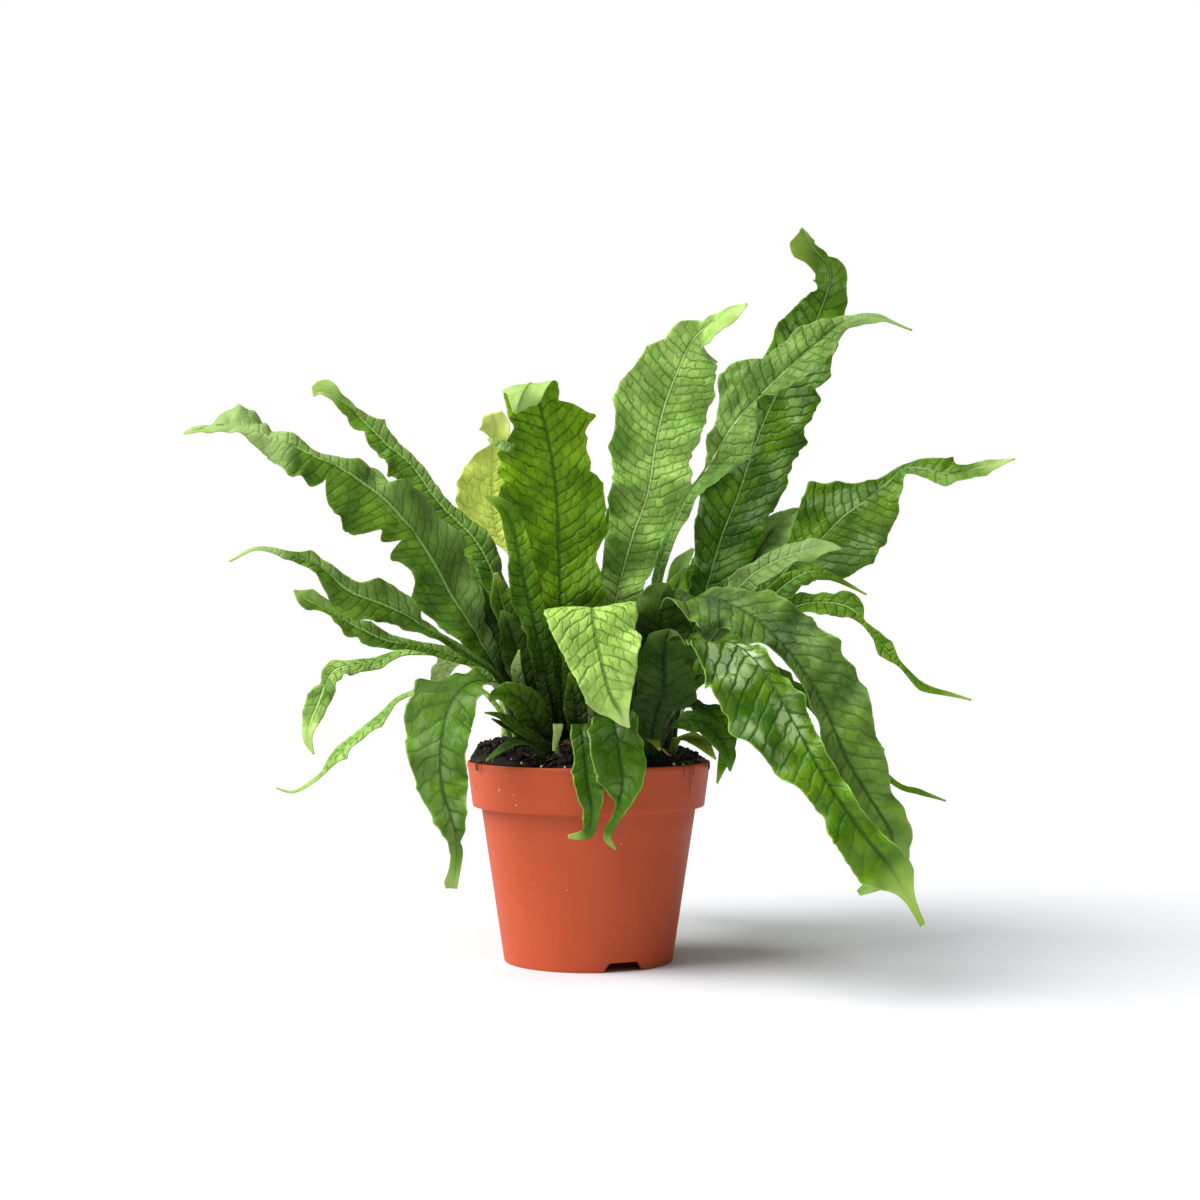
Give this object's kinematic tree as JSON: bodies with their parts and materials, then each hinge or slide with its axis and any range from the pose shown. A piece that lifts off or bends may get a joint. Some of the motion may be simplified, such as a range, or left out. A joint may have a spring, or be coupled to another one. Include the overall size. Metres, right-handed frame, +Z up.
{
  "type": "potted crocodile fern",
  "caption": "Crocodile fern with strap-like waved fronds that rise and arch out of a creeping rootstock, planted in soil in a round plastic nursery pot.",
  "frame": {"origin": "centre of the flat foot boss under the pot, on the plane that the pot stands on", "axes": "+Z up along the pot's axis, -Y towards the plant's best side, +X to that viewer's right"},
  "size_m": [0.4073, 0.3034, 0.3622],
  "materials": {
    "pot_plastic": "terracotta coloured, thin thermoformed plastic with a soft sheen",
    "potting_soil": "dark, damp and crumbly peat soil",
    "rootstock": "brown, scaly and dull",
    "leaf_mid": "leathery mid green with a soft gloss and a netted surface",
    "leaf_dark": "leathery deep green with a soft gloss and a netted surface",
    "leaf_pale": "leathery light green with darker veins and a soft gloss",
    "leaf_yellow": "leathery yellow green, ageing"
  },
  "bodies": {
    "root": {"pot": "pot_plastic", "soil": "potting_soil", "rhizome": "rootstock", "frond_left_high": "leaf_pale", "frond_left_high_back": "leaf_mid", "frond_left_mid": "leaf_mid", "frond_left_low": "leaf_mid", "frond_left_arch": "leaf_pale", "frond_left_thin_back": "leaf_pale", "frond_left_droop": "leaf_mid", "frond_centre_left": "leaf_dark", "frond_yellow": "leaf_yellow", "frond_centre_dark": "leaf_dark", "frond_centre_tall": "leaf_pale", "frond_right_light": "leaf_pale", "frond_tall_dark": "leaf_dark", "frond_right_high": "leaf_mid", "frond_right_fold": "leaf_pale", "frond_right_crinkled": "leaf_dark", "frond_right_low_tail": "leaf_mid", "frond_right_tail": "leaf_mid", "frond_right_droop_back": "leaf_dark", "frond_right_droop_front": "leaf_mid", "frond_front_fold": "leaf_pale", "frond_rim_right": "leaf_mid", "frond_rim_left": "leaf_mid", "frond_young_front": "leaf_pale", "frond_rim_far_right": "leaf_dark", "frond_rim_right_low": "leaf_pale", "frond_rim_right_mini": "leaf_pale", "frond_mid_right": "leaf_dark", "frond_dark_right": "leaf_dark", "frond_small_back": "leaf_mid", "frond_right_back_tail": "leaf_dark", "frond_left_inner": "leaf_mid", "frond_left_curl": "leaf_dark", "frond_left_rim_small": "leaf_mid", "frond_left_soil": "leaf_dark", "frond_back_tall": "leaf_mid", "frond_back_dark": "leaf_dark", "frond_back_right_tall": "leaf_mid", "frond_back_right_arch": "leaf_pale", "frond_back_right_low": "leaf_mid", "frond_back_left_low": "leaf_pale", "frond_back_left_arch": "leaf_mid", "frond_back_left_high": "leaf_mid", "frond_back_low_mid": "leaf_dark", "frond_back_right_high": "leaf_mid"}
  },
  "joints": []
}
